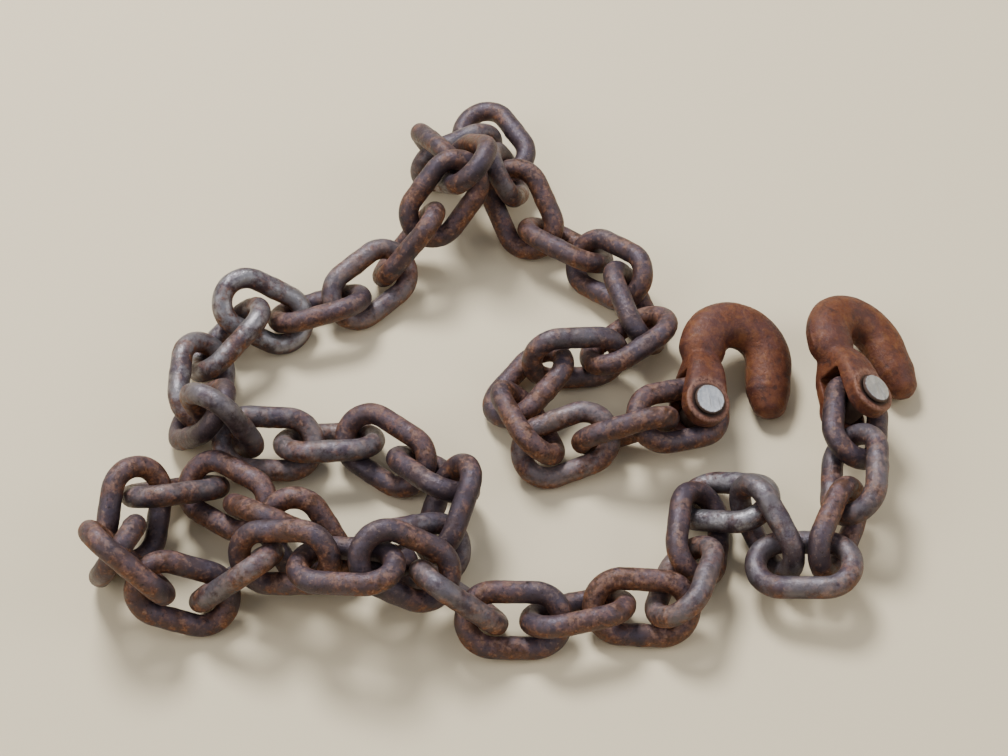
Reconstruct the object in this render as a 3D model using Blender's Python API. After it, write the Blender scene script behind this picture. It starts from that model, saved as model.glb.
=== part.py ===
"""Heap of iron chain with a clevis grab hook on each end, at its real size.

Metres, +Z up. The chain lies loose on a level floor at z = 0, and the middle of its plan is the origin.
Each link, hook and pin is one object. The links are laid one after another along a hand-chosen
route: each one hangs in the round end of the link before it, heads along the route, and is let down
until it touches the floor or a link that already lies there.
"""
import math

import bmesh
import bpy
import numpy as np
from mathutils import Matrix

# Chain
BAR = 0.010                # diameter of a link's bar
INNER_LENGTH = 0.031       # hole of a link, along it
INNER_WIDTH = 0.014        # hole of a link, across it
LINK_COUNT = 56
BAR_SIDES = 8
END_STEPS = 6              # straight steps in each round end of a link

# Grab hook
HOOK_BAR = 0.0225          # width of the hook's bent bar at the bow, before its throat is cut
NECK_BAR = 0.0155          # the same at the neck, below the clevis
TIP_BAR = 0.0130           # the same at the tip
FLATNESS = 0.84            # thickness of the bar as a share of its width
THROAT = 0.0120            # clear width between the shank and the tip leg
THROAT_CUT = 0.0006        # how deep the throat's flat walls are cut into each side
SHANK = 0.032              # from the pin's axis to the start of the bow
TIP_LEG = 0.026            # straight leg from the end of the bow to the tip
TIP_FLARE = 0.003          # how far the tip bends away from the shank
TIP_SWELL = 0.96           # width half way along the tip leg, as a share of the bow's
HOOK_SIDES = 12
BOW_STEPS = 10

# Clevis and its pin
EAR = 0.0075               # thickness of each ear
EAR_RADIUS = 0.0108
SLOT_PLAY = 0.0022         # the slot is this much wider than a link's bar
SLOT_ROOM = 0.0020         # room left behind the link that the pin holds
PIN = 0.0110
PIN_PLAY = 0.0006          # the hole is this much wider than the pin
PIN_HEAD = 0.0140          # diameter of the round head on each end of the pin
PIN_HEAD_HEIGHT = 0.0018
ROUND_SIDES = 16

GAP = 0.0003               # working gap between pieces that touch

# Lay of the chain
SLACK = 0.0036             # play left where one link hangs in the next
LEAN = math.radians(42)    # how far each link leans to its side, in turn left and right
LEAN_STEP = math.radians(12)
LEAN_TRIES = 6
LEAN_WORTH = 0.020         # rise that a link accepts for each radian nearer to its own lean
CLIMB_WORTH = 0.015        # the same for each radian nearer to level
CLIMB_TOP = math.radians(72)
CLIMB_STEP = math.radians(6)
TURN_STEP = math.radians(12)
TURN_TRIES = 5
PITCH = 0.0268             # step along the route that each link aims for
HALVINGS = 9               # of a climb step, to find where a link just touches
RIB_SWELL = 1.12           # the straight pieces that stand for a clevis are this much thicker
NEARBY = 0.03              # bars further away than this are left out of a clearance
SINK_STEPS = (0.002, 0.001, 0.0005, 0.0002)     # moves that a laid link tries, the longest first
SINK_ROUNDS = 3
SINK_REPEATS = 12
HOOK_A_AT = (0.083, -0.045)
HOOK_A_HEADING = math.radians(72)
HOOK_A_ROLL = math.radians(20)      # about its shank, with its tip down
STEEPEST_HOOK = math.radians(45)
LINK_A_SWING = math.radians(115)    # from the hook's shank to the link that its pin holds
HOOK_B_SWING = math.radians(29)     # from the last link to the shank of the second hook

# Plan of the heap, chosen by hand: it starts at the first hook's pin and ends at the second's
ROUTE = [
    (0.083, -0.045), (0.060, -0.040), (0.036, -0.046), (0.016, -0.051), (-0.004, -0.046),
    (-0.002, -0.031), (0.014, -0.022), (0.032, -0.010), (0.056, -0.006), (0.068, 0.014),
    (0.056, 0.044), (0.042, 0.066), (0.034, 0.092), (0.037, 0.114), (0.044, 0.129),
    (0.026, 0.136), (0.006, 0.139), (-0.006, 0.128), (0.008, 0.114), (0.000, 0.100),
    (0.012, 0.082), (-0.006, 0.074), (-0.026, 0.082), (-0.042, 0.070), (-0.062, 0.055),
    (-0.084, 0.054), (-0.110, 0.060), (-0.126, 0.036), (-0.132, 0.010), (-0.116, -0.010),
    (-0.092, -0.022), (-0.066, -0.038), (-0.046, -0.056), (-0.040, -0.074), (-0.060, -0.086),
    (-0.086, -0.080), (-0.104, -0.060), (-0.126, -0.046), (-0.152, -0.048), (-0.166, -0.070),
    (-0.160, -0.090), (-0.144, -0.094), (-0.120, -0.101), (-0.090, -0.106), (-0.066, -0.112),
    (-0.044, -0.124), (-0.016, -0.130), (0.012, -0.132), (0.036, -0.142), (0.056, -0.130),
    (0.056, -0.108), (0.076, -0.098), (0.092, -0.114), (0.104, -0.132), (0.124, -0.126),
    (0.132, -0.102), (0.142, -0.082), (0.154, -0.060), (0.164, -0.030), (0.176, 0.030),
]
ROUTE_STEP = 0.001

END_RADIUS = (INNER_WIDTH + BAR) / 2
LINE_LENGTH = INNER_LENGTH + BAR
BAR_OUT = BAR / 2
SLOT = BAR + SLOT_PLAY
HALF_CLEVIS = SLOT / 2 + EAR
PIN_END = HALF_CLEVIS + GAP + PIN_HEAD_HEIGHT
PIN_TO_LINK = PIN / 2 + BAR_OUT + GAP
SLOT_DEPTH = PIN_TO_LINK + BAR_OUT + SLOT_ROOM
BOW_RADIUS = (THROAT + HOOK_BAR) / 2 - THROAT_CUT
AXIS_HEIGHT = END_RADIUS * math.sin(LEAN) + BAR / 2    # of a level link that leans on the floor

MODEL = "iron_chain_heap"


def clear_scene():
    for thing in list(bpy.data.objects):
        bpy.data.objects.remove(thing, do_unlink=True)


def collection(name):
    made = bpy.data.collections.new(name)
    bpy.context.scene.collection.children.link(made)
    return made


def finish(name, colour, roughness, metallic):
    material = bpy.data.materials.new(name)
    material.use_nodes = True
    shader = material.node_tree.nodes["Principled BSDF"]
    shader.inputs["Base Color"].default_value = (*colour, 1.0)
    shader.inputs["Roughness"].default_value = roughness
    shader.inputs["Metallic"].default_value = metallic
    material.diffuse_color = (*colour, 1.0)
    return material


# Shapes along a line

def stadium():
    """Centre line of a link: two straight legs and two round ends, in its own plane."""
    reach = LINE_LENGTH / 2 - END_RADIUS
    points = []
    for side in (1, -1):
        for step in range(END_STEPS + 1):
            angle = side * math.pi / 2 - math.pi * step / END_STEPS
            points.append((side * reach + END_RADIUS * math.cos(angle),
                           END_RADIUS * math.sin(angle), 0.0))
    return np.array(points)


def hook_line():
    """Centre line and thickness of the hook's bent bar, from inside the clevis to the tip."""
    start = SLOT_DEPTH + EAR / 2
    points = [(start, 0.0, 0.0), ((start + SHANK) / 2, 0.0, 0.0)]
    widths = [NECK_BAR, NECK_BAR]
    for step in range(BOW_STEPS + 1):
        angle = math.pi / 2 - math.pi * step / BOW_STEPS
        points.append((SHANK + BOW_RADIUS * math.cos(angle),
                       -BOW_RADIUS + BOW_RADIUS * math.sin(angle), 0.0))
        widths.append(HOOK_BAR)
    points.append((SHANK - TIP_LEG / 2, -2 * BOW_RADIUS, 0.0))
    widths.append(HOOK_BAR * TIP_SWELL)
    points.append((SHANK - TIP_LEG, -2 * BOW_RADIUS - TIP_FLARE, 0.0))
    widths.append(TIP_BAR)
    return np.array(points), np.array(widths)


def bent_bar(name, points, widths, sides, closed):
    """Curve with a round bevel through the points."""
    curve = bpy.data.curves.new(name, "CURVE")
    curve.dimensions = "3D"
    curve.bevel_depth = 1.0
    curve.bevel_resolution = sides // 2 - 2
    curve.use_fill_caps = not closed
    spline = curve.splines.new("POLY")
    spline.points.add(len(points) - 1)
    for point, place, width in zip(spline.points, points, widths):
        point.co = (*place, 1.0)
        point.radius = width / 2
    spline.use_cyclic_u = closed
    return curve


def as_mesh(name, curve):
    """Closed mesh of a bevelled curve."""
    holder = bpy.data.objects.new(name, curve)
    bpy.context.scene.collection.objects.link(holder)
    graph = bpy.context.evaluated_depsgraph_get()
    mesh = bpy.data.meshes.new_from_object(holder.evaluated_get(graph))
    bpy.data.objects.remove(holder, do_unlink=True)
    shape = bmesh.new()
    shape.from_mesh(mesh)
    bmesh.ops.remove_doubles(shape, verts=shape.verts, dist=1e-6)
    bmesh.ops.recalc_face_normals(shape, faces=shape.faces)
    shape.to_mesh(mesh)
    shape.free()
    mesh.name = name
    return mesh


def add_object(name, mesh, place, target, material=None):
    made = bpy.data.objects.new(name, mesh)
    made.matrix_world = place
    target.objects.link(made)
    if material and not mesh.materials:
        mesh.materials.append(material)
    return made


def primitive(kind, name, matrix, radius=0.0, depth=0.0):
    mesh = bpy.data.meshes.new(name)
    shape = bmesh.new()
    if kind == "box":
        bmesh.ops.create_cube(shape, size=1.0, matrix=matrix)
    else:
        bmesh.ops.create_cone(shape, cap_ends=True, segments=ROUND_SIDES, radius1=radius,
                              radius2=radius, depth=depth, matrix=matrix)
    shape.to_mesh(mesh)
    shape.free()
    return mesh


def round_piece(name, radius, low, high):
    middle = Matrix.Translation((0, 0, (low + high) / 2))
    return primitive("round", name, middle, radius, high - low)


def box_piece(name, low, high):
    size = [b - a for a, b in zip(low, high)]
    middle = [(a + b) / 2 for a, b in zip(low, high)]
    matrix = Matrix.Translation(middle) @ Matrix.Diagonal((*size, 1.0))
    return primitive("box", name, matrix)


def join_or_cut(body, tool, operation, guides):
    guides.objects.link(tool)
    tool.hide_render = True
    tool.display_type = "WIRE"
    step = body.modifiers.new(tool.name, "BOOLEAN")
    step.operation = operation
    step.object = tool
    step.solver = "EXACT"


# Geometry of the lay

def stadium_bars(frame):
    points = LINK_LINE @ frame[:3, :3].T + frame[:3, 3]
    return points, np.roll(points, -1, axis=0)


def segment_distances(p0, p1, q0, q1):
    """Least distance between every segment p and every segment q."""
    u = p1 - p0
    v = q1 - q0
    w = p0[:, None] - q0[None]
    a = (u * u).sum(-1)[:, None]
    b = u @ v.T
    c = (v * v).sum(-1)[None]
    d = (u[:, None] * w).sum(-1)
    e = (v[None] * w).sum(-1)
    spread = np.maximum(a * c - b * b, 1e-16)
    s = np.clip((b * e - c * d) / spread, 0, 1)
    t = np.clip((b * s + e) / c, 0, 1)
    s = np.clip((b * t - d) / a, 0, 1)
    between = w + s[..., None] * u[:, None] - t[..., None] * v[None]
    return np.sqrt((between * between).sum(-1))


class Laid:
    """Bars that already lie in the heap, as straight pieces with a radius."""

    def __init__(self):
        self.starts = np.zeros((0, 3))
        self.ends = np.zeros((0, 3))
        self.radii = np.zeros(0)

    def add(self, starts, ends, radii):
        self.starts = np.vstack([self.starts, starts])
        self.ends = np.vstack([self.ends, ends])
        self.radii = np.concatenate([self.radii, np.broadcast_to(radii, len(starts))])

    def clearance(self, starts, ends, radii):
        """Least gap between the laid bars and the bars given."""
        low = np.minimum(starts.min(0), ends.min(0)) - NEARBY
        high = np.maximum(starts.max(0), ends.max(0)) + NEARBY
        near = np.all((np.maximum(self.starts, self.ends) > low)
                      & (np.minimum(self.starts, self.ends) < high), axis=1)
        if not near.any():
            return NEARBY
        gaps = segment_distances(starts, ends, self.starts[near], self.ends[near])
        return (gaps - np.asarray(radii).reshape(-1, 1) - self.radii[near][None]).min()


def unit(vector):
    return vector / np.linalg.norm(vector)


def direction(heading, climb):
    return np.array([math.cos(climb) * math.cos(heading), math.cos(climb) * math.sin(heading),
                     math.sin(climb)])


def link_frame(heading, climb, lean, middle):
    """Matrix of a link: its x runs along it, its y across its hole, and its z through the hole."""
    along = direction(heading, climb)
    level = np.array([-math.sin(heading), math.cos(heading), 0.0])
    upward = np.cross(along, level)
    across = math.cos(lean) * level + math.sin(lean) * upward
    frame = np.eye(4)
    frame[:3, 0] = along
    frame[:3, 1] = across
    frame[:3, 2] = np.cross(along, across)
    frame[:3, 3] = middle
    return frame


def hung_link(last, heading, climb, lean, hang):
    """Frame of the next link: its near end hangs in the far end of the last one."""
    frame = link_frame(heading, climb, lean, np.zeros(3))
    normal = unit(np.cross(last[:3, 1], frame[:3, 1]))
    if normal @ (last[:3, 0] + frame[:3, 0]) < 0:
        normal = -normal
    far_end = last[:3, 3] + last[:3, 0] * LINE_LENGTH / 2
    near_end = far_end - hang * normal
    frame[:3, 3] = near_end + frame[:3, 0] * LINE_LENGTH / 2
    return frame


def smooth_route():
    """Points every millimetre or so along a smooth curve through the route's own points."""
    knots = [np.array(knot) for knot in ROUTE]
    knots = [2 * knots[0] - knots[1]] + knots + [2 * knots[-1] - knots[-2]]
    places = []
    for before, start, end, after in zip(knots, knots[1:], knots[2:], knots[3:]):
        steps = max(2, round(float(np.linalg.norm(end - start)) / ROUTE_STEP))
        for step in range(steps):
            t = step / steps
            places.append(0.5 * (2 * start + (end - before) * t
                                 + (2 * before - 5 * start + 4 * end - after) * t * t
                                 + (3 * start - before - 3 * end + after) * t * t * t))
    return np.array(places)


def linked(one, other):
    """True where the centre line of one link passes through the hole of the other."""
    points = (LINK_LINE @ one[:3, :3].T + one[:3, 3] - other[:3, 3]) @ other[:3, :3]
    following = np.roll(points, -1, axis=0)
    crossing = (points[:, 2] > 0) != (following[:, 2] > 0)
    points, following = points[crossing], following[crossing]
    share = points[:, 2] / (points[:, 2] - following[:, 2])
    places = points + share[:, None] * (following - points)
    beyond = np.maximum(np.abs(places[:, 0]) - (LINE_LENGTH / 2 - END_RADIUS), 0)
    inside = np.hypot(beyond, places[:, 1]) < END_RADIUS
    return inside.sum() % 2 == 1


def clears_floor(frame):
    dip = END_RADIUS * math.hypot(frame[2, 0], frame[2, 1])
    return frame[2, 3] - abs(frame[2, 0]) * (LINE_LENGTH / 2 - END_RADIUS) - dip >= BAR_OUT


def clears(frame, laid):
    """True where a link in this frame clears the floor and every piece already laid."""
    return clears_floor(frame) and laid.clearance(*stadium_bars(frame), BAR_OUT) >= GAP


def fits_after(frame, last, laid):
    """True where it also hangs in the last link and leaves room under its far end for the next."""
    far_end = frame[2, 3] + frame[2, 0] * LINE_LENGTH / 2
    return far_end >= AXIS_HEIGHT and clears_floor(frame) and linked(frame, last) and clears(frame, laid)


def let_down(make, test):
    """The piece at the lowest climb at which it fits, or None."""
    clear = -CLIMB_TOP
    while not test(make(clear)):
        clear += CLIMB_STEP
        if clear > CLIMB_TOP:
            return None
    blocked = clear - CLIMB_STEP
    for _ in range(HALVINGS):
        middle = (clear + blocked) / 2
        if test(make(middle)):
            clear = middle
        else:
            blocked = middle
    return make(clear)


def places_for_link(links, heading, side, laid, last_one):
    """Frames in which the next link can lie, the best first.

    A link leans to the side given and turns as little from its heading as it can. The last one
    has any turn that lays its hook low.
    """
    last = links[-1]
    last_heading = math.atan2(last[1, 0], last[0, 0])
    turn = (heading - last_heading + math.pi) % (2 * math.pi) - math.pi
    fits = fits_with_hook if last_one else fits_after
    found = []
    for _ in range(TURN_TRIES):
        for slack in (SLACK, SLACK / 2, 3 * GAP):
            for step in range(-LEAN_TRIES, LEAN_TRIES + 1):
                lean = side * LEAN + LEAN_STEP * step

                def make(climb, lean=lean, slack=slack):
                    return hung_link(last, last_heading + turn, climb, lean, BAR + slack)

                def test(frame):
                    return fits(frame, last, laid)

                frame = let_down(make, test)
                if frame is None or any(linked(frame, other) for other in links[:-1]):
                    continue
                if last_one:
                    rise = sum(bottoms(hook_on_link(frame, HOOK_B_SWING)))
                else:
                    rise = (frame[2, 3] + LEAN_WORTH * abs(lean - side * LEAN)
                            + CLIMB_WORTH * abs(math.asin(frame[2, 0])))
                found.append((rise, len(found), frame))
            if found and not last_one:
                return [frame for _, _, frame in sorted(found)]
        less = TURN_STEP if last_one else min(TURN_STEP, abs(turn))
        turn -= math.copysign(less, turn)
    return [frame for _, _, frame in sorted(found)]


def hook_bars(frame):
    """The hook and its pin as straight pieces with a radius, for the lay only."""
    line, widths = hook_line()
    starts = [*line[:-1]]
    ends = [*line[1:]]
    radii = [*(np.maximum(widths[:-1], widths[1:]) / 2)]
    for side in (1, -1):
        for edge in (1, 0, -1):
            rib = (0.0, edge * (EAR_RADIUS - EAR / 2), side * (SLOT + EAR) / 2)
            starts.append(rib)
            ends.append((SLOT_DEPTH + EAR / 2, *rib[1:]))
            radii.append(EAR * RIB_SWELL / 2)
    head = (0.0, 0.0, PIN_END - PIN_HEAD / 4)
    starts.append(head)
    ends.append(tuple(-place for place in head))
    radii.append(PIN_HEAD * RIB_SWELL / 2)
    turn, middle = frame[:3, :3], frame[:3, 3]
    return np.array(starts) @ turn.T + middle, np.array(ends) @ turn.T + middle, np.array(radii)


def bottoms(frame):
    """Heights of the lowest points of a hook's bent bar and of its clevis with the pin."""
    rise = frame[2, :3]
    level = math.hypot(rise[0], rise[1])
    line, widths = hook_line()
    bar = (line @ rise - widths / 2 * math.hypot(level, FLATNESS * rise[2])).min()
    ear = -HALF_CLEVIS * abs(rise[2]) - EAR_RADIUS * level
    pin = -PIN_END * abs(rise[2]) - PIN_HEAD / 2 * level
    cheek = (SLOT_DEPTH + EAR) * rise[0] - EAR_RADIUS * abs(rise[1]) - HALF_CLEVIS * abs(rise[2])
    return frame[2, 3] + bar, frame[2, 3] + min(ear, pin, cheek)


def first_hook():
    """The first hook lies on its side, tilted until its bent bar and its clevis both rest."""
    steep, level = -STEEPEST_HOOK, STEEPEST_HOOK
    for _ in range(2 * HALVINGS):
        tilt = (steep + level) / 2
        frame = link_frame(HOOK_A_HEADING, tilt, HOOK_A_ROLL, np.array([*HOOK_A_AT, 0.0]))
        bar, clevis = bottoms(frame)
        if bar > clevis:
            level = tilt
        else:
            steep = tilt
    frame[2, 3] = -min(bar, clevis)
    return frame


def link_on_pin(hook, swing):
    """A link that the hook's pin holds, swung from the shank in the hook's plane."""
    away = math.cos(swing) * hook[:3, 0] + math.sin(swing) * hook[:3, 1]
    frame = np.eye(4)
    frame[:3, 0] = away
    frame[:3, 2] = hook[:3, 2]
    frame[:3, 1] = np.cross(frame[:3, 2], away)
    frame[:3, 3] = hook[:3, 3] + away * (LINE_LENGTH / 2 - PIN_TO_LINK)
    return frame


def hook_on_link(link, swing):
    """The hook that hangs in a link's far end, swung from the link in the link's plane."""
    shank = math.cos(swing) * link[:3, 0] + math.sin(swing) * link[:3, 1]
    round_end = link[:3, 3] + link[:3, 0] * (LINE_LENGTH / 2 - END_RADIUS)
    frame = np.eye(4)
    frame[:3, 0] = shank
    frame[:3, 2] = link[:3, 2]
    frame[:3, 1] = np.cross(frame[:3, 2], shank)
    frame[:3, 3] = round_end + shank * (END_RADIUS - PIN_TO_LINK)
    return frame


def fits_with_hook(frame, last, laid):
    if not fits_after(frame, last, laid):
        return False
    hook = hook_on_link(frame, HOOK_B_SWING)
    if min(bottoms(hook)) < 0:
        return False
    return laid.clearance(*hook_bars(hook)) >= GAP


def aim_along(route, at, last):
    """Index of the route point one pitch ahead of the last link's far end, and the heading to it."""
    near = (last[:3, 3] + last[:3, 0] * (PITCH - LINE_LENGTH / 2))[:2]
    while at < len(route) - 1 and np.linalg.norm(route[at] - near) < PITCH:
        at += 1
    aim = route[at] - near
    return at, math.atan2(aim[1], aim[0])


def lay_chain():
    """Frames of the first hook, of every link and of the second hook."""
    route = smooth_route()
    hook_a = first_hook()
    links = [link_on_pin(hook_a, LINK_A_SWING)]
    reached = [0]
    options = []
    while len(links) < LINK_COUNT:
        laid = Laid()
        laid.add(*hook_bars(hook_a))
        for frame in links:
            laid.add(*stadium_bars(frame), BAR_OUT)
        at, heading = aim_along(route, reached[-1], links[-1])
        side = -1 if len(links) % 2 == 0 else 1
        last_one = len(links) == LINK_COUNT - 1
        places = places_for_link(links, heading, side, laid, last_one)
        while options and not places:
            places = options.pop()
            links.pop()
            at = reached.pop()
        if not places:
            break
        links.append(places.pop(0))
        options.append(places)
        reached.append(at)
    return hook_a, links, hook_on_link(links[-1], HOOK_B_SWING)


def turned(frame, pivot, axis, angle):
    """The frame turned about an axis through the pivot."""
    x, y, z = axis
    skew = np.array([[0.0, -z, y], [z, 0.0, -x], [-y, x, 0.0]])
    turn = np.eye(3) + math.sin(angle) * skew + (1 - math.cos(angle)) * (skew @ skew)
    made = np.eye(4)
    made[:3, :3] = turn @ frame[:3, :3]
    made[:3, 3] = pivot + turn @ (frame[:3, 3] - pivot)
    return made


def small_moves(frame, step):
    """The frame dipped at either end, rolled about either leg, lowered, and slid down to each side."""
    along, across, middle = frame[:3, 0], frame[:3, 1], frame[:3, 3]
    level = unit(np.cross((0.0, 0.0, 1.0), along))
    made = []
    for sense in (1, -1):
        for end in (1, -1):
            made.append(turned(frame, middle + end * along * LINE_LENGTH / 2, level,
                               sense * step / LINE_LENGTH))
            made.append(turned(frame, middle + end * across * END_RADIUS, along,
                               sense * step / (2 * END_RADIUS)))
    for slide in (np.zeros(3), along, -along, level, -level):
        lower = frame.copy()
        lower[:2, 3] += slide[:2] * step
        lower[2, 3] -= step
        made.append(lower)
    return made


def sink(hook_a, links, hook_b):
    """Let every link that isn't held by a pin sink until it rests, the lowest links first."""
    for _ in range(SINK_ROUNDS):
        for number in sorted(range(1, len(links) - 1), key=lambda index: links[index][2, 3]):
            laid = Laid()
            laid.add(*hook_bars(hook_a))
            laid.add(*hook_bars(hook_b))
            for other, frame in enumerate(links):
                if other != number:
                    laid.add(*stadium_bars(frame), BAR_OUT)
            for step in SINK_STEPS:
                for _ in range(SINK_REPEATS):
                    lower = [frame for frame in small_moves(links[number], step)
                             if frame[2, 3] < links[number][2, 3] and clears(frame, laid)]
                    if not lower:
                        break
                    links[number] = min(lower, key=lambda frame: frame[2, 3])


def blender_matrix(frame):
    return Matrix([list(row) for row in frame])


# Pieces

def hook_object(name, place, parts, guides, material):
    line, widths = hook_line()
    mesh = as_mesh(name, bent_bar(name, line, widths, HOOK_SIDES, closed=False))
    mesh.transform(Matrix.Diagonal((1, 1, FLATNESS, 1)))
    hook = add_object(name, mesh, place, parts, material)
    middle = -BOW_RADIUS
    throat_floor = round_piece("throat_floor", THROAT / 2, -HOOK_BAR, HOOK_BAR)
    throat_floor.transform(Matrix.Translation((SHANK, middle, 0)))
    ears = [
        ("ear_round", round_piece("ear_round", EAR_RADIUS, -HALF_CLEVIS, HALF_CLEVIS), "UNION"),
        ("cheek", box_piece("cheek", (0, -EAR_RADIUS, -HALF_CLEVIS),
                            (SLOT_DEPTH + EAR, EAR_RADIUS, HALF_CLEVIS)), "UNION"),
        ("slot", box_piece("slot", (-2 * EAR_RADIUS, -EAR_RADIUS - SLOT_ROOM, -SLOT / 2),
                           (SLOT_DEPTH, EAR_RADIUS + SLOT_ROOM, SLOT / 2)), "DIFFERENCE"),
        ("hole", round_piece("hole", (PIN + PIN_PLAY) / 2, -2 * HALF_CLEVIS, 2 * HALF_CLEVIS),
         "DIFFERENCE"),
        ("throat_walls", box_piece("throat_walls", (SLOT_DEPTH + EAR + GAP, middle - THROAT / 2, -HOOK_BAR),
                                   (SHANK, middle + THROAT / 2, HOOK_BAR)), "DIFFERENCE"),
        ("throat_floor", throat_floor, "DIFFERENCE"),
    ]
    for label, shape, operation in ears:
        tool = bpy.data.objects.new(name + "_" + label, shape)
        tool.matrix_world = place
        join_or_cut(hook, tool, operation, guides)
    return hook


def pin_object(name, place, parts, guides, material):
    """Pin with a low round head on each ear."""
    reach = PIN_END - PIN_HEAD_HEIGHT / 2
    pin = add_object(name, round_piece(name, PIN / 2, -reach, reach), place, parts, material)
    for end, low, high in (("top", HALF_CLEVIS + GAP, PIN_END), ("foot", -PIN_END, -HALF_CLEVIS - GAP)):
        head = bpy.data.objects.new(f"{name}_{end}", round_piece(f"{name}_{end}", PIN_HEAD / 2, low, high))
        head.matrix_world = place
        join_or_cut(pin, head, "UNION", guides)
    return pin


def centre_heap(parts, guides):
    """Move everything so that the heap's box stands on the origin."""
    graph = bpy.context.evaluated_depsgraph_get()
    corners = []
    for thing in parts.objects:
        shape = thing.evaluated_get(graph)
        corners += [shape.matrix_world @ vertex.co for vertex in shape.data.vertices]
    low = [min(corner[axis] for corner in corners) for axis in range(3)]
    high = [max(corner[axis] for corner in corners) for axis in range(3)]
    shift = Matrix.Translation((-(low[0] + high[0]) / 2, -(low[1] + high[1]) / 2, -low[2]))
    for thing in [*parts.objects, *guides.objects]:
        thing.matrix_world = shift @ thing.matrix_world


def main():
    clear_scene()
    parts = collection(MODEL)
    guides = collection("cutters")
    iron = finish("dark_iron", (0.085, 0.055, 0.050), 0.62, 0.55)
    rust = finish("rusty_hook", (0.24, 0.085, 0.040), 0.80, 0.20)
    steel = finish("bright_pin", (0.62, 0.62, 0.60), 0.35, 0.90)

    hook_a, links, hook_b = lay_chain()
    sink(hook_a, links, hook_b)
    link_mesh = as_mesh("link", bent_bar("link", LINK_LINE, [BAR] * len(LINK_LINE), BAR_SIDES,
                                         closed=True))
    for number, frame in enumerate(links, 1):
        add_object(f"link_{number:02d}", link_mesh, blender_matrix(frame), parts, iron)
    for letter, frame in (("a", hook_a), ("b", hook_b)):
        place = blender_matrix(frame)
        hook_object(f"grab_hook_{letter}", place, parts, guides, rust)
        pin_object(f"clevis_pin_{letter}", place, parts, guides, steel)
    centre_heap(parts, guides)


LINK_LINE = stadium()
main()
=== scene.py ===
"""Looks of the heap of iron chain: forged links, rusty grab hooks and their bright pins.

Every piece stands exactly where its CAD node is, and its shape lies in its own mesh, in metres.
"""
import math

import bmesh
import bpy
import numpy as np
from mathutils import Matrix, Vector, noise


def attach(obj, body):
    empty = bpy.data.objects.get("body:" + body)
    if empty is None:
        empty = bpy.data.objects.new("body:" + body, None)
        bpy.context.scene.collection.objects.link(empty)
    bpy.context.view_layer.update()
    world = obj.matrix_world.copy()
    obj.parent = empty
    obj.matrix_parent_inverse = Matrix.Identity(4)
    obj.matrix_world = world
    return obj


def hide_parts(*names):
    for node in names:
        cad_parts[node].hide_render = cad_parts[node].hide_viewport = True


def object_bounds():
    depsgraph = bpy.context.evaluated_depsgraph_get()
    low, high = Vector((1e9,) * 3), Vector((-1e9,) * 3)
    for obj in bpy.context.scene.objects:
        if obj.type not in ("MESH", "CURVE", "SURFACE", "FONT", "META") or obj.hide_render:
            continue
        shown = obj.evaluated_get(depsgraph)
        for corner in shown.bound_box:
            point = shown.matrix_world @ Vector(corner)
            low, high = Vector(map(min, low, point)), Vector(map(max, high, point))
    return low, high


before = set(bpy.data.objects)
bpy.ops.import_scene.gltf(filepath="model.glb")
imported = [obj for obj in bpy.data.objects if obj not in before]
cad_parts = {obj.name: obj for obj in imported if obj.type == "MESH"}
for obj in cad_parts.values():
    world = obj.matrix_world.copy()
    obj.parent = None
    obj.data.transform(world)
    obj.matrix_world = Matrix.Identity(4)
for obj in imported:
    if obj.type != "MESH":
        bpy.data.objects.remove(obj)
cad_low, cad_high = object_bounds()

# Links: the CAD model's sizes, with a bar a little thinner to leave room for the dents
BAR_RADIUS = 0.00488
END_RADIUS = 0.0119         # of the centre line in the round ends
LEG = 0.0085                # half the straight leg
LINK_SIDES = 24
ARC_STEPS = 30
LEG_STEPS = 18
WELD_HEIGHT = 0.00022
WELD_WIDTH = 0.0024
END_WEAR = 0.00016          # worn off the inside of each end

# Hooks: the CAD model's sizes
SLOT_DEPTH = 0.0178
SLOT = 0.0122
EAR_RADIUS = 0.0108
EAR_RIM = 0.0012
HALF_CLEVIS = 0.0136
SHANK = 0.032
BAR_START = SLOT_DEPTH + 0.0032     # where the bent bar starts, behind the slot
BOW_RADIUS = 0.01665
NECK_HALF = 0.0077          # half widths of the bent bar
BOW_HALF = 0.0111
LEG_HALF = 0.0107           # half way along the tip leg
TIP_HALF = 0.0066
THROAT = 0.0120
TIP_LEG = 0.026
TIP_FLARE = 0.003
TIP_ROUND = 0.80            # share of the tip leg where its end starts to round off
FLATNESS = 0.84
HOOK_SIDES = 40
SHANK_STEPS = 10
BOW_STEPS = 40
TIP_STEPS = 30
VOXEL = 0.00055
HOOK_SUNK = 0.00016         # the hook's skin lies this much lower, to leave room for its dents
SEAM_HEIGHT = 0.00018
SEAM_WIDTH = 0.0007

# Sections of the clevis: x, shares of EAR_RADIUS and HALF_CLEVIS, and how square it is
CHEEKS = [
    (0.0, 1.0, 1.0, 5.0), (0.0070, 0.97, 1.0, 5.0), (0.0120, 0.92, 0.99, 4.6),
    (0.0165, 0.87, 0.96, 4.0), (0.0205, 0.82, 0.87, 3.4), (0.0235, 0.78, 0.76, 2.9),
    (0.0262, 0.75, 0.64, 2.5), (0.0290, 0.71, 0.50, 2.2),
]

# Pins
PIN_RADIUS = 0.0055
PIN_HOLE = 0.0058
PIN_HEAD_RADIUS = 0.0070
PIN_HEAD_LOW = 0.0139
PIN_END = 0.0157
PIN_RIM = 0.0009
ROUND_SIDES = 64
PIN_SIDES = 72
RIM_STEPS = 6

# Layers of dents: height, width, and what each adds to the seed
LINK_DENTS = ((0.00016, 0.0070, 0), (0.00009, 0.0026, 40))
HOOK_DENTS = ((0.00016, 0.0110, 0), (0.00009, 0.0042, 9), (0.00004, 0.0017, 21))

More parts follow.
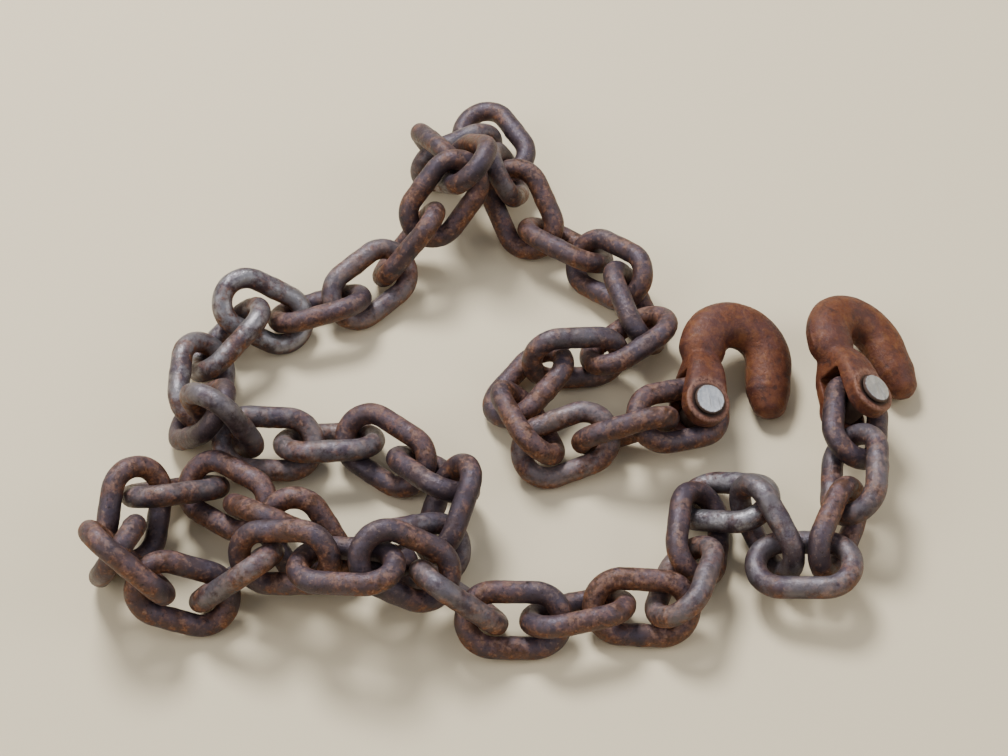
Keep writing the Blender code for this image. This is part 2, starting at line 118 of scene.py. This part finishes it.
# How far each of these links is rubbed to bare grey metal
RUBBED = {
    3: 0.35, 6: 0.25, 12: 0.30, 14: 0.35, 19: 0.30, 21: 1.00, 22: 0.85, 23: 0.70, 25: 0.45,
    26: 0.35, 27: 0.45, 31: 0.30, 36: 0.25, 41: 0.40, 45: 0.30, 49: 0.30, 51: 0.95, 52: 0.45,
    53: 0.35, 55: 0.25,
}
TONE_SPREAD = 0.16          # how far links differ in how brown they are

# Direction of each hook's shank, and the seed of its dents
HOOKS = {
    "a": ((0.3041, 0.9360, 0.1773), 3),
    "b": ((-0.0776, 0.9866, 0.1434), 17),
}

# Floor, lights, world and camera
FLOOR_COLOUR = (0.800, 0.700, 0.505, 1.0)
FLOOR_FLAT = 2.0            # radius of the flat part
FLOOR_SWEEP = 1.2           # radius of the curve that rises round it
FLOOR_TOP = 1.7
FLOOR_GAP = 0.0001          # the floor lies this much under the part
FLOOR_SIDES = 96
FLOOR_STEPS = 16
LIGHTS = [                  # name, place, size, power, colour
    ("key", (-0.25, 1.0, 1.5), 0.6, 38.0, (1.0, 0.985, 0.96)),
    ("fill", (-1.3, -0.3, 1.2), 1.2, 10.0, (1.0, 0.96, 0.92)),
    ("side", (1.4, -0.5, 1.0), 1.0, 8.0, (1.0, 0.97, 0.93)),
]
WORLD_COLOUR = (0.86, 0.90, 1.0, 1.0)
WORLD_STRENGTH = 0.44
CAMERA_AT = (-0.1081, -0.5772, 0.783)
CAMERA_AIM = (0.004, -0.008, 0.012)
CAMERA_LENS = 75.0


# Meshes

def new_mesh(name, points, faces):
    mesh = bpy.data.meshes.new(name)
    mesh.from_pydata([tuple(point) for point in points], [], faces)
    mesh.validate()
    mesh.update()
    return mesh


def rings_to_faces(count, sides, closed):
    """Faces between rings of points; an open row of rings gets a cap on its first and last."""
    faces = []
    for ring in range(count if closed else count - 1):
        for side in range(sides):
            a = ring * sides + side
            b = ring * sides + (side + 1) % sides
            following = (ring + 1) % count
            c = following * sides + (side + 1) % sides
            d = following * sides + side
            faces.append((a, b, c, d))
    if not closed:
        faces.append(tuple(range(sides))[::-1])
        faces.append(tuple((count - 1) * sides + side for side in range(sides)))
    return faces


def turned(profile, sides, thinnest=0.0):
    """Points of a profile of (radius, z) turned round the z axis."""
    points = []
    for radius, z in profile:
        for side in range(sides):
            turn = 2 * math.pi * side / sides
            points.append((max(radius, thinnest) * math.cos(turn),
                           max(radius, thinnest) * math.sin(turn), z))
    return points


def rough(point, scale, seed):
    """Smooth noise between about -1 and 1, other for each seed."""
    return noise.noise(Vector(point) / scale + Vector((seed * 7.31, seed * 3.17, seed * 5.77)))


def dents(point, layers, seed):
    return sum(height * rough(point, width, seed + more) for height, width, more in layers)


def add_values(mesh, name, values):
    layer = mesh.attributes.new(name, "FLOAT", "POINT")
    layer.data.foreach_set("value", np.asarray(values, dtype=np.float32))


def read_points(mesh):
    points = np.empty(3 * len(mesh.vertices))
    mesh.vertices.foreach_get("co", points)
    return points.reshape(-1, 3)


def outward(mesh):
    shape = bmesh.new()
    shape.from_mesh(mesh)
    bmesh.ops.recalc_face_normals(shape, faces=shape.faces)
    shape.to_mesh(mesh)
    shape.free()


def smooth(mesh):
    mesh.polygons.foreach_set("use_smooth", [True] * len(mesh.polygons))


def keep_in_box(mesh):
    """Hold every point inside the box of the CAD model."""
    points = np.clip(read_points(mesh), cad_low, cad_high)
    mesh.vertices.foreach_set("co", points.ravel())


def place_piece(name, mesh, matrix, node, material):
    """Put the mesh where the matrix says, as a piece that replaces the CAD node."""
    mesh.transform(matrix)
    keep_in_box(mesh)
    mesh.update()
    mesh.materials.append(material)
    smooth(mesh)
    piece = bpy.data.objects.new(name, mesh)
    bpy.context.scene.collection.objects.link(piece)
    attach(piece, "root")
    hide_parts(node)


def node_points(node):
    return np.array([vertex.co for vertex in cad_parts[node].data.vertices])


def axes_of(points):
    """Middle of the points and their directions of most, middle and least spread."""
    points = np.unique(np.round(points, 6), axis=0)
    middle = points.mean(0)
    _, directions = np.linalg.eigh(np.cov((points - middle).T))
    return middle, directions[:, ::-1]


def matrix_of(x, y, z, middle):
    made = Matrix.Identity(4)
    for column, axis in enumerate((x, y, z, middle)):
        for row in range(3):
            made[row][column] = float(axis[row])
    return made


# Links

def link_line():
    """Centre line of a link with, for each point, its outward direction in the link's plane."""
    points, outs = [], []
    for side in (1, -1):
        for step in range(ARC_STEPS + 1):
            angle = side * math.pi / 2 - math.pi * step / ARC_STEPS
            out = np.array((math.cos(angle), math.sin(angle), 0.0))
            points.append(np.array((side * LEG, 0, 0)) + END_RADIUS * out)
            outs.append(out)
        for step in range(1, LEG_STEPS):
            along = side * LEG * (1 - 2 * step / LEG_STEPS)
            points.append(np.array((along, -side * END_RADIUS, 0.0)))
            outs.append(np.array((0.0, -side, 0.0)))
    return points, outs


def link_mesh(name, seed, weld_side):
    """A round-bar link with a weld upset on one leg, dents, and ends a little worn inside."""
    line, outs = link_line()
    points, inner_end = [], []
    for point, out in zip(line, outs):
        on_weld_leg = point[1] * weld_side > 0
        weld = math.exp(-(point[0] / WELD_WIDTH) ** 2) if on_weld_leg else 0.0
        end = max(0.0, (abs(point[0]) - LEG) / END_RADIUS)
        for side in range(LINK_SIDES):
            turn = 2 * math.pi * side / LINK_SIDES
            away = math.cos(turn) * out + math.sin(turn) * np.array((0, 0, 1.0))
            inside = max(0.0, -math.cos(turn))
            place = point + BAR_RADIUS * away
            radius = BAR_RADIUS + dents(place, LINK_DENTS, seed)
            radius += WELD_HEIGHT * weld * (1 + 0.6 * rough(place, 0.002, seed + 80))
            radius -= END_WEAR * end * inside
            points.append(point + radius * away)
            inner_end.append(end * inside)
    mesh = new_mesh(name, points, rings_to_faces(len(line), LINK_SIDES, closed=True))
    outward(mesh)
    add_values(mesh, "inner_end", inner_end)
    return mesh


# Hooks

def hook_stations():
    """Stations along the bent bar: x, y, outward direction in x and y, half width."""
    stations = []
    for step in range(SHANK_STEPS):
        share = step / SHANK_STEPS
        stations.append((BAR_START + share * (SHANK - BAR_START), 0.0, 0.0, 1.0,
                         NECK_HALF + (BOW_HALF - NECK_HALF) * share ** 2 * (3 - 2 * share)))
    for step in range(BOW_STEPS + 1):
        angle = math.pi / 2 - math.pi * step / BOW_STEPS
        stations.append((SHANK + BOW_RADIUS * math.cos(angle),
                         -BOW_RADIUS + BOW_RADIUS * math.sin(angle),
                         math.cos(angle), math.sin(angle), BOW_HALF))
    for step in range(1, TIP_STEPS + 1):
        share = step / TIP_STEPS
        bend = TIP_FLARE * share ** 2
        slope = 2 * TIP_FLARE * share / TIP_LEG
        half = np.interp(share, (0.0, 0.5, 1.0), (BOW_HALF, LEG_HALF, TIP_HALF))
        rounding = max(0.0, (share - TIP_ROUND) / (1 - TIP_ROUND))
        half *= math.sqrt(max(0.02, 1 - rounding ** 2.4))
        stations.append((SHANK - TIP_LEG * share, -2 * BOW_RADIUS - bend, slope, -1.0, half))
    return stations


def hook_sweep():
    """The hook's bent bar, from the clevis to its rounded tip, with its throat kept clear."""
    stations = hook_stations()
    points = []
    for x, y, out_x, out_y, half in stations:
        length = math.hypot(out_x, out_y)
        out = np.array((out_x / length, out_y / length, 0.0))
        for side in range(HOOK_SIDES):
            turn = 2 * math.pi * side / HOOK_SIDES
            point = (np.array((x, y, 0.0)) + half * math.cos(turn) * out
                     + half * FLATNESS * math.sin(turn) * np.array((0, 0, 1.0)))
            if point[0] < SHANK:
                if y > -BOW_RADIUS:
                    point[1] = max(point[1], -BOW_RADIUS + THROAT / 2)
                else:
                    point[1] = min(point[1], -BOW_RADIUS - THROAT / 2)
            points.append(point)
    return new_mesh("hook", points, rings_to_faces(len(stations), HOOK_SIDES, closed=False))


def cheeks_mesh(sides=96):
    """Closed skin over the rounded-square sections of the clevis."""
    points = []
    for x, high, thick, power in CHEEKS:
        for side in range(sides):
            turn = 2 * math.pi * side / sides
            c, s = math.cos(turn), math.sin(turn)
            points.append((x, EAR_RADIUS * high * math.copysign(abs(c) ** (2 / power), c),
                           HALF_CLEVIS * thick * math.copysign(abs(s) ** (2 / power), s)))
    return new_mesh("cheeks", points, rings_to_faces(len(CHEEKS), sides, closed=False))


def round_solid(name, radius, half, rim=0.0):
    """Cylinder along z whose rims are rounded."""
    profile = [(0.0, -half)]
    for step in range(RIM_STEPS + 1):
        angle = math.pi / 2 * step / RIM_STEPS
        profile.append((radius - rim * (1 - math.sin(angle)),
                        -half + rim * (1 - math.cos(angle))))
    profile += [(r, -z) for r, z in reversed(profile)]
    points = turned(profile, ROUND_SIDES, 1e-5)
    return new_mesh(name, points, rings_to_faces(len(profile), ROUND_SIDES, closed=False))


def box_solid(name, low, high):
    shape = bmesh.new()
    size = [b - a for a, b in zip(low, high)]
    middle = [(a + b) / 2 for a, b in zip(low, high)]
    bmesh.ops.create_cube(shape, size=1.0,
                          matrix=Matrix.Translation(middle) @ Matrix.Diagonal((*size, 1.0)))
    mesh = bpy.data.meshes.new(name)
    shape.to_mesh(mesh)
    shape.free()
    return mesh


def temporary(name, mesh):
    outward(mesh)
    made = bpy.data.objects.new(name, mesh)
    bpy.context.scene.collection.objects.link(made)
    return made


def hook_mesh():
    """One forged clevis grab hook about its pin's middle: x along the shank, z along the pin."""
    body = temporary("hook_body", hook_sweep())
    slot = box_solid("slot", (-0.03, -0.02, -SLOT / 2), (SLOT_DEPTH - 0.001, 0.02, SLOT / 2))
    tools = [
        ("cheeks", cheeks_mesh(), "UNION"),
        ("ears", round_solid("ears", EAR_RADIUS, HALF_CLEVIS, EAR_RIM), "UNION"),
        ("slot", slot, "DIFFERENCE"),
        ("hole", round_solid("hole", PIN_HOLE, 0.03), "DIFFERENCE"),
    ]
    helpers = []
    for label, mesh, operation in tools:
        helper = temporary(label, mesh)
        helpers.append(helper)
        step = body.modifiers.new(label, "BOOLEAN")
        step.operation = operation
        step.object = helper
        step.solver = "EXACT"
    remesh = body.modifiers.new("remesh", "REMESH")
    remesh.mode = "VOXEL"
    remesh.voxel_size = VOXEL
    soften = body.modifiers.new("soften", "SMOOTH")
    soften.factor = 0.5
    soften.iterations = 7
    graph = bpy.context.evaluated_depsgraph_get()
    mesh = bpy.data.meshes.new_from_object(body.evaluated_get(graph))
    for thing in [body, *helpers]:
        bpy.data.objects.remove(thing, do_unlink=True)
    return mesh


def step_up(values, low, high):
    """0 below low, 1 above high, straight between; falls instead where low is above high."""
    return np.clip((values - low) / (high - low), 0.0, 1.0)


def add_hook_values(mesh):
    """Where a hook is rubbed round its pin's ends, where dirt and painted shade sit round each pin
    head, and where its dies met.
    """
    x, y, z = read_points(mesh).T
    out = np.hypot(x, y)
    on_ear = step_up(np.abs(z), 0.0118, 0.0130) * step_up(out, 0.0125, 0.0110)
    add_values(mesh, "collar", on_ear * step_up(out, 0.0080, 0.0088))
    # dirt and painted shade: the ring just outside each pin head, where the gap between head and
    # ear lies in shadow
    add_values(mesh, "grime_and_painted_shade", on_ear * step_up(out, 0.0086, 0.0076))
    on_bend = np.minimum(step_up(x, 0.027, 0.033) + step_up(y, -0.012, -0.018), 1.0)
    add_values(mesh, "seam", np.exp(-(z / SEAM_WIDTH) ** 2) * on_bend)


def forge(mesh, seed):
    """Hammer dents, scale and the seam of the dies on the hook's skin."""
    normals = [vertex.normal.copy() for vertex in mesh.vertices]
    ridge = [item.value for item in mesh.attributes["seam"].data]
    for vertex, normal, seam in zip(mesh.vertices, normals, ridge):
        lift = dents(vertex.co, HOOK_DENTS, seed) - HOOK_SUNK
        vertex.co += normal * (lift + SEAM_HEIGHT * seam)
    mesh.update()


def pin_mesh(name):
    """Pin with a low round head on each end, turned about z; its heads' rims are rounded."""
    half = [(0.0, PIN_END - 0.00010), (0.0030, PIN_END - 0.00004), (0.0054, PIN_END - 0.00006)]
    for step in range(RIM_STEPS + 1):
        angle = math.pi / 2 * step / RIM_STEPS
        half.append((PIN_HEAD_RADIUS - PIN_RIM * (1 - math.sin(angle)),
                     PIN_END - 0.0001 - PIN_RIM * (1 - math.cos(angle))))
    half += [(PIN_HEAD_RADIUS, PIN_HEAD_LOW + 0.0004), (PIN_HEAD_RADIUS - 0.0004, PIN_HEAD_LOW),
             (PIN_RADIUS, PIN_HEAD_LOW), (PIN_RADIUS, 0.004)]
    profile = half + [(radius, -z) for radius, z in reversed(half)]
    points = turned(profile, PIN_SIDES, 2e-5)
    mesh = new_mesh(name, points, rings_to_faces(len(profile), PIN_SIDES, closed=False))
    outward(mesh)
    # over 1 everywhere below the heads, where the pin is dull
    from_axis = [math.hypot(x, y) / PIN_HEAD_RADIUS + (abs(z) <= PIN_HEAD_LOW)
                 for x, y, z in points]
    add_values(mesh, "from_axis", from_axis)
    return mesh


# Materials

class Nodes:
    """A material's node tree, built with short calls."""

    def __init__(self, name):
        self.material = bpy.data.materials.new(name)
        self.material.use_nodes = True
        self.tree = self.material.node_tree
        self.shader = self.tree.nodes["Principled BSDF"]

    def add(self, kind, **settings):
        node = self.tree.nodes.new(kind)
        for key, value in settings.items():
            setattr(node, key, value)
        return node

    def link(self, source, target):
        self.tree.links.new(source, target)

    def put(self, value, target):
        """Link a socket, or set a plain value."""
        if isinstance(value, bpy.types.NodeSocket):
            self.link(value, target)
        else:
            target.default_value = value

    def finish(self, name, value):
        """Give the shader's input its value."""
        self.put(value, self.shader.inputs[name])

    def place(self):
        return self.add("ShaderNodeTexCoord").outputs["Object"]

    def noise(self, size, detail=4.0, roughness=0.55, distortion=0.0):
        """Noise whose blobs are about size metres across."""
        node = self.add("ShaderNodeTexNoise")
        self.link(self.place(), node.inputs["Vector"])
        node.inputs["Scale"].default_value = 1.0 / size
        node.inputs["Detail"].default_value = detail
        node.inputs["Roughness"].default_value = roughness
        node.inputs["Distortion"].default_value = distortion
        return node.outputs["Fac"]

    def scratches(self, scale):
        """Noise stretched into lines, with its own scale along each axis."""
        node = self.add("ShaderNodeTexNoise")
        stretch = self.add("ShaderNodeMapping")
        stretch.inputs["Scale"].default_value = scale
        self.link(self.place(), stretch.inputs["Vector"])
        self.link(stretch.outputs["Vector"], node.inputs["Vector"])
        node.inputs["Scale"].default_value = 1.0
        node.inputs["Detail"].default_value = 3.0
        return node.outputs["Fac"]

    def ramp(self, value, low, high):
        """0 below low, 1 above high, smooth between; falls instead where low is above high."""
        node = self.add("ShaderNodeMapRange", interpolation_type="SMOOTHSTEP", clamp=True)
        self.put(value, node.inputs["Value"])
        node.inputs["From Min"].default_value = low
        node.inputs["From Max"].default_value = high
        return node.outputs["Result"]

    def math(self, operation, one, other):
        node = self.add("ShaderNodeMath", operation=operation)
        self.put(one, node.inputs[0])
        self.put(other, node.inputs[1])
        return node.outputs[0]

    def plus(self, one, other):
        return self.math("ADD", one, other)

    def times(self, one, other):
        return self.math("MULTIPLY", one, other)

    def mix(self, share, one, other):
        node = self.add("ShaderNodeMix", data_type="RGBA")
        self.put(share, node.inputs["Factor"])
        for value, socket in ((one, node.inputs["A"]), (other, node.inputs["B"])):
            self.put((*value, 1.0) if isinstance(value, tuple) else value, socket)
        return node.outputs["Result"]

    def coat(self, colour, where, share, paint):
        """The colour with another laid over it, at most by the share."""
        return self.mix(self.times(where, share), colour, paint)

    def blend(self, share, one, other):
        node = self.add("ShaderNodeMix", data_type="FLOAT")
        self.put(share, node.inputs["Factor"])
        self.put(one, node.inputs["A"])
        self.put(other, node.inputs["B"])
        return node.outputs["Result"]

    def value(self, name):
        return self.add("ShaderNodeAttribute", attribute_name=name).outputs["Fac"]

    def upward(self):
        """How far the surface faces up, from -1 to 1."""
        normal = self.add("ShaderNodeNewGeometry").outputs["Normal"]
        split = self.add("ShaderNodeSeparateXYZ")
        self.link(normal, split.inputs[0])
        return split.outputs["Z"]

    def bump(self, height, distance, strength, under=None):
        node = self.add("ShaderNodeBump")
        node.inputs["Strength"].default_value = strength
        node.inputs["Distance"].default_value = distance
        self.link(height, node.inputs["Height"])
        if under is not None:
            self.link(under, node.inputs["Normal"])
        return node.outputs["Normal"]


def iron_material():
    """Purple-brown oxide with a painted grey highlight on the upper faces, rust in patches, pale
    dust and rubbed grey places.
    """
    n = Nodes("dark_iron")
    broad = n.noise(0.024, detail=3.0)
    patch = n.noise(0.0068, detail=6.0, roughness=0.62, distortion=0.4)
    blotch = n.noise(0.0036, detail=5.0, roughness=0.60, distortion=0.3)
    fine = n.noise(0.0015, detail=5.0, roughness=0.66)
    grain = n.noise(0.00045, detail=3.0, roughness=0.6)
    wear = n.noise(0.011, detail=5.0, roughness=0.7)
    up = n.upward()
    tone = n.plus(n.value("tone"), broad)

    oxide = n.mix(n.ramp(patch, 0.34, 0.68), (0.031, 0.021, 0.026), (0.074, 0.048, 0.056))
    brown = n.mix(n.ramp(fine, 0.38, 0.66), (0.068, 0.031, 0.020), (0.140, 0.062, 0.034))
    orange = n.mix(n.ramp(fine, 0.40, 0.62), (0.130, 0.046, 0.020), (0.270, 0.110, 0.045))
    rust = n.times(n.ramp(blotch, 0.47, 0.60), n.ramp(tone, 0.36, 0.56))
    rust = n.plus(rust, n.times(n.value("inner_end"), 0.30))
    # painted highlight: a lavender-grey sheen laid on the faces that look up, where the light is
    # reflected
    painted_sheen = n.times(n.ramp(up, 0.20, 0.95), n.ramp(patch, 0.66, 0.38))
    specks = n.times(n.ramp(fine, 0.57, 0.68), n.ramp(blotch, 0.44, 0.58))
    dust = n.times(n.ramp(up, 0.50, 0.96), n.ramp(blotch, 0.48, 0.60))
    dust = n.times(dust, n.ramp(patch, 0.40, 0.56))
    pits = n.ramp(fine, 0.42, 0.32)
    bare = n.times(n.ramp(wear, 0.40, 0.58), n.value("rubbed"))
    bare = n.times(bare, n.ramp(up, -0.10, 0.45))

    colour = n.mix(n.ramp(tone, 0.42, 0.64), oxide, brown)
    colour = n.coat(colour, rust, 0.72, orange)
    # the painted highlight's lavender-grey colour
    colour = n.coat(colour, painted_sheen, 0.42, (0.130, 0.106, 0.158))
    colour = n.coat(colour, specks, 0.55, (0.300, 0.205, 0.150))
    colour = n.coat(colour, dust, 0.40, (0.250, 0.178, 0.165))
    colour = n.coat(colour, pits, 0.75, (0.022, 0.015, 0.014))
    n.finish("Base Color", n.mix(bare, colour, (0.270, 0.262, 0.285)))

    dull = n.blend(n.ramp(fine, 0.30, 0.72), 0.36, 0.60)
    n.finish("Roughness", n.blend(bare, n.blend(rust, dull, 0.82), 0.34))
    metal = n.blend(n.times(rust, 0.8), 0.38, 0.05)
    n.finish("Metallic", n.blend(bare, metal, 0.75))
    coarse = n.bump(blotch, 0.00060, 0.70)
    middle = n.bump(fine, 0.00030, 0.75, coarse)
    n.finish("Normal", n.bump(grain, 0.00008, 0.60, middle))
    return n.material


def rust_material():
    """Thick rust over a forging: red-brown and orange with dark places, a painted highlight on the
    upper faces, painted shade on the undersides, dirt and painted shade round each pin head, and a
    rubbed collar.
    """
    n = Nodes("rusty_hook")
    broad = n.noise(0.019, detail=4.0, roughness=0.6, distortion=0.5)
    patch = n.noise(0.0062, detail=6.0, roughness=0.66, distortion=0.6)
    blotch = n.noise(0.0031, detail=5.0, roughness=0.60, distortion=0.4)
    fine = n.noise(0.0014, detail=6.0, roughness=0.68)
    grain = n.noise(0.00042, detail=3.0, roughness=0.6)
    up = n.upward()
    # painted highlight: a purple-red sheen laid on the faces that look up, where the light is
    # reflected
    painted_sheen = n.times(n.ramp(up, 0.40, 0.96), n.ramp(broad, 0.58, 0.42))
    collar = n.times(n.value("collar"), n.ramp(fine, 0.36, 0.60))

    colour = n.mix(n.ramp(broad, 0.36, 0.62), (0.068, 0.017, 0.011), (0.128, 0.036, 0.014))
    for where, share, paint in (
            (n.ramp(patch, 0.49, 0.65), 0.66, (0.202, 0.073, 0.020)),
            (n.ramp(blotch, 0.50, 0.60), 0.42, (0.186, 0.058, 0.020)),
            (n.ramp(blotch, 0.47, 0.37), 0.45, (0.046, 0.014, 0.010)),
            (n.ramp(patch, 0.46, 0.31), 0.80, (0.037, 0.012, 0.010)),
            # the painted highlight's purple-red colour
            (painted_sheen, 0.34, (0.138, 0.058, 0.056)),
            (n.ramp(fine, 0.42, 0.30), 0.70, (0.028, 0.011, 0.008)),
            (n.ramp(fine, 0.56, 0.70), 0.40, (0.300, 0.140, 0.070)),
            # painted shade: darker on the faces that look down
            (n.ramp(up, 0.10, -0.60), 0.55, (0.045, 0.016, 0.011)),
            (collar, 0.60, (0.300, 0.165, 0.120)),
            # dirt and painted shade: near black in the ring round each pin head, where the gap
            # lies in shadow
            (n.value("grime_and_painted_shade"), 0.85, (0.018, 0.011, 0.009))):
        colour = n.coat(colour, where, share, paint)
    n.finish("Base Color", colour)
    n.finish("Roughness", n.blend(n.ramp(fine, 0.32, 0.70), 0.44, 0.76))
    n.finish("Metallic", 0.18)
    seam = n.bump(n.value("seam"), 0.00025, 0.50)
    coarse = n.bump(patch, 0.00070, 0.75, seam)
    middle = n.bump(fine, 0.00035, 0.80, coarse)
    n.finish("Normal", n.bump(grain, 0.00009, 0.65, middle))
    return n.material


def pin_material():
    """Bright plated steel with scratches; dark dirt and rust on the heads' rims and the shaft."""
    n = Nodes("bright_pin")
    fine = n.noise(0.0011, detail=5.0, roughness=0.65)
    blotch = n.noise(0.0030, detail=4.0, roughness=0.6, distortion=0.5)
    lines = n.scratches((900.0, 90.0, 160.0))
    rim = n.ramp(n.plus(n.value("from_axis"), n.times(fine, 0.16)), 0.93, 1.04)

    colour = n.mix(n.ramp(blotch, 0.35, 0.70), (0.560, 0.590, 0.640), (0.790, 0.810, 0.850))
    colour = n.coat(colour, n.ramp(lines, 0.56, 0.68), 0.6, (0.270, 0.270, 0.285))
    n.finish("Base Color", n.mix(rim, colour, (0.075, 0.045, 0.034)))
    dull = n.blend(n.ramp(lines, 0.40, 0.66), 0.34, 0.52)
    n.finish("Roughness", n.blend(rim, dull, 0.85))
    n.finish("Metallic", n.blend(rim, 0.88, 0.10))
    n.finish("Normal", n.bump(lines, 0.00005, 0.5, n.bump(blotch, 0.00010, 0.5)))
    return n.material


def floor_material():
    n = Nodes("pale_floor")
    n.finish("Base Color", FLOOR_COLOUR)
    n.finish("Roughness", 0.85)
    return n.material


# Assembly

def build_links(material):
    nodes = sorted(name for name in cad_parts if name.startswith("link_"))
    for index, node in enumerate(nodes, 1):
        middle, axes = axes_of(node_points(node))
        x, y = axes[:, 0], axes[:, 1]
        mesh = link_mesh("chain_" + node, index, 1 if index % 2 else -1)
        count = len(mesh.vertices)
        tone = TONE_SPREAD * rough((0.37 * index, 0.0, 0.0), 1.0, 5)
        add_values(mesh, "rubbed", [RUBBED.get(index, 0.0)] * count)
        add_values(mesh, "tone", [tone] * count)
        place_piece("chain_" + node, mesh, matrix_of(x, y, np.cross(x, y), middle), node,
                    material)


def build_hook(letter, shape, rust, steel):
    hook, pin = f"grab_hook_{letter}", f"clevis_pin_{letter}"
    shank, seed = HOOKS[letter]
    middle, axes = axes_of(node_points(pin))
    z = axes[:, 0] * (1 if axes[2, 0] > 0 else -1)
    x = np.array(shank)
    x = x - (x @ z) * z
    x /= np.linalg.norm(x)
    matrix = matrix_of(x, np.cross(z, x), z, middle)
    mesh = shape.copy()
    mesh.name = "forged_" + hook
    add_hook_values(mesh)
    forge(mesh, seed)
    place_piece("forged_" + hook, mesh, matrix, hook, rust)
    place_piece("bright_" + pin, pin_mesh("bright_" + pin), matrix, pin, steel)


def build_hooks(rust, steel):
    shape = hook_mesh()
    for letter in HOOKS:
        build_hook(letter, shape, rust, steel)
    bpy.data.meshes.remove(shape)


# Floor, light and camera

def make_floor():
    """A pale floor that sweeps up well behind the chain on all sides."""
    profile = [(FLOOR_FLAT - 0.1, -FLOOR_GAP), (FLOOR_FLAT, -FLOOR_GAP)]
    for step in range(1, FLOOR_STEPS + 1):
        angle = math.pi / 2 * step / FLOOR_STEPS
        profile.append((FLOOR_FLAT + FLOOR_SWEEP * math.sin(angle),
                        FLOOR_SWEEP * (1 - math.cos(angle)) - FLOOR_GAP))
    profile.append((FLOOR_FLAT + FLOOR_SWEEP, FLOOR_TOP - FLOOR_GAP))
    points = turned(profile, FLOOR_SIDES)
    open_top = rings_to_faces(len(profile), FLOOR_SIDES, closed=False)[:-1]
    mesh = new_mesh("floor", points, open_top)
    smooth(mesh)
    mesh.materials.append(floor_material())
    floor = bpy.data.objects.new("floor", mesh)
    bpy.context.scene.collection.objects.link(floor)


def area_light(name, at, size, power, colour):
    """A round lamp that faces the middle of the part."""
    lamp = bpy.data.lights.new(name, "AREA")
    lamp.shape = "DISK"
    lamp.size = size
    lamp.energy = power
    lamp.color = colour
    holder = bpy.data.objects.new(name, lamp)
    holder.location = at
    holder.rotation_euler = (-Vector(at)).to_track_quat("-Z", "Y").to_euler()
    bpy.context.scene.collection.objects.link(holder)


def make_world():
    world = bpy.data.worlds.new("studio")
    bpy.context.scene.world = world
    world.use_nodes = True
    back = world.node_tree.nodes["Background"]
    back.inputs["Color"].default_value = WORLD_COLOUR
    back.inputs["Strength"].default_value = WORLD_STRENGTH


def make_camera():
    camera = bpy.data.cameras.new("camera")
    camera.sensor_fit = "HORIZONTAL"
    camera.sensor_width = 36.0
    camera.lens = CAMERA_LENS
    camera.clip_start = 0.01
    camera.clip_end = 20.0
    holder = bpy.data.objects.new("camera", camera)
    holder.location = CAMERA_AT
    gaze = Vector(CAMERA_AIM) - Vector(CAMERA_AT)
    holder.rotation_euler = gaze.to_track_quat("-Z", "Y").to_euler()
    bpy.context.scene.collection.objects.link(holder)
    bpy.context.scene.camera = holder


build_links(iron_material())
build_hooks(rust_material(), pin_material())
make_floor()
for light in LIGHTS:
    area_light(*light)
make_world()
make_camera()
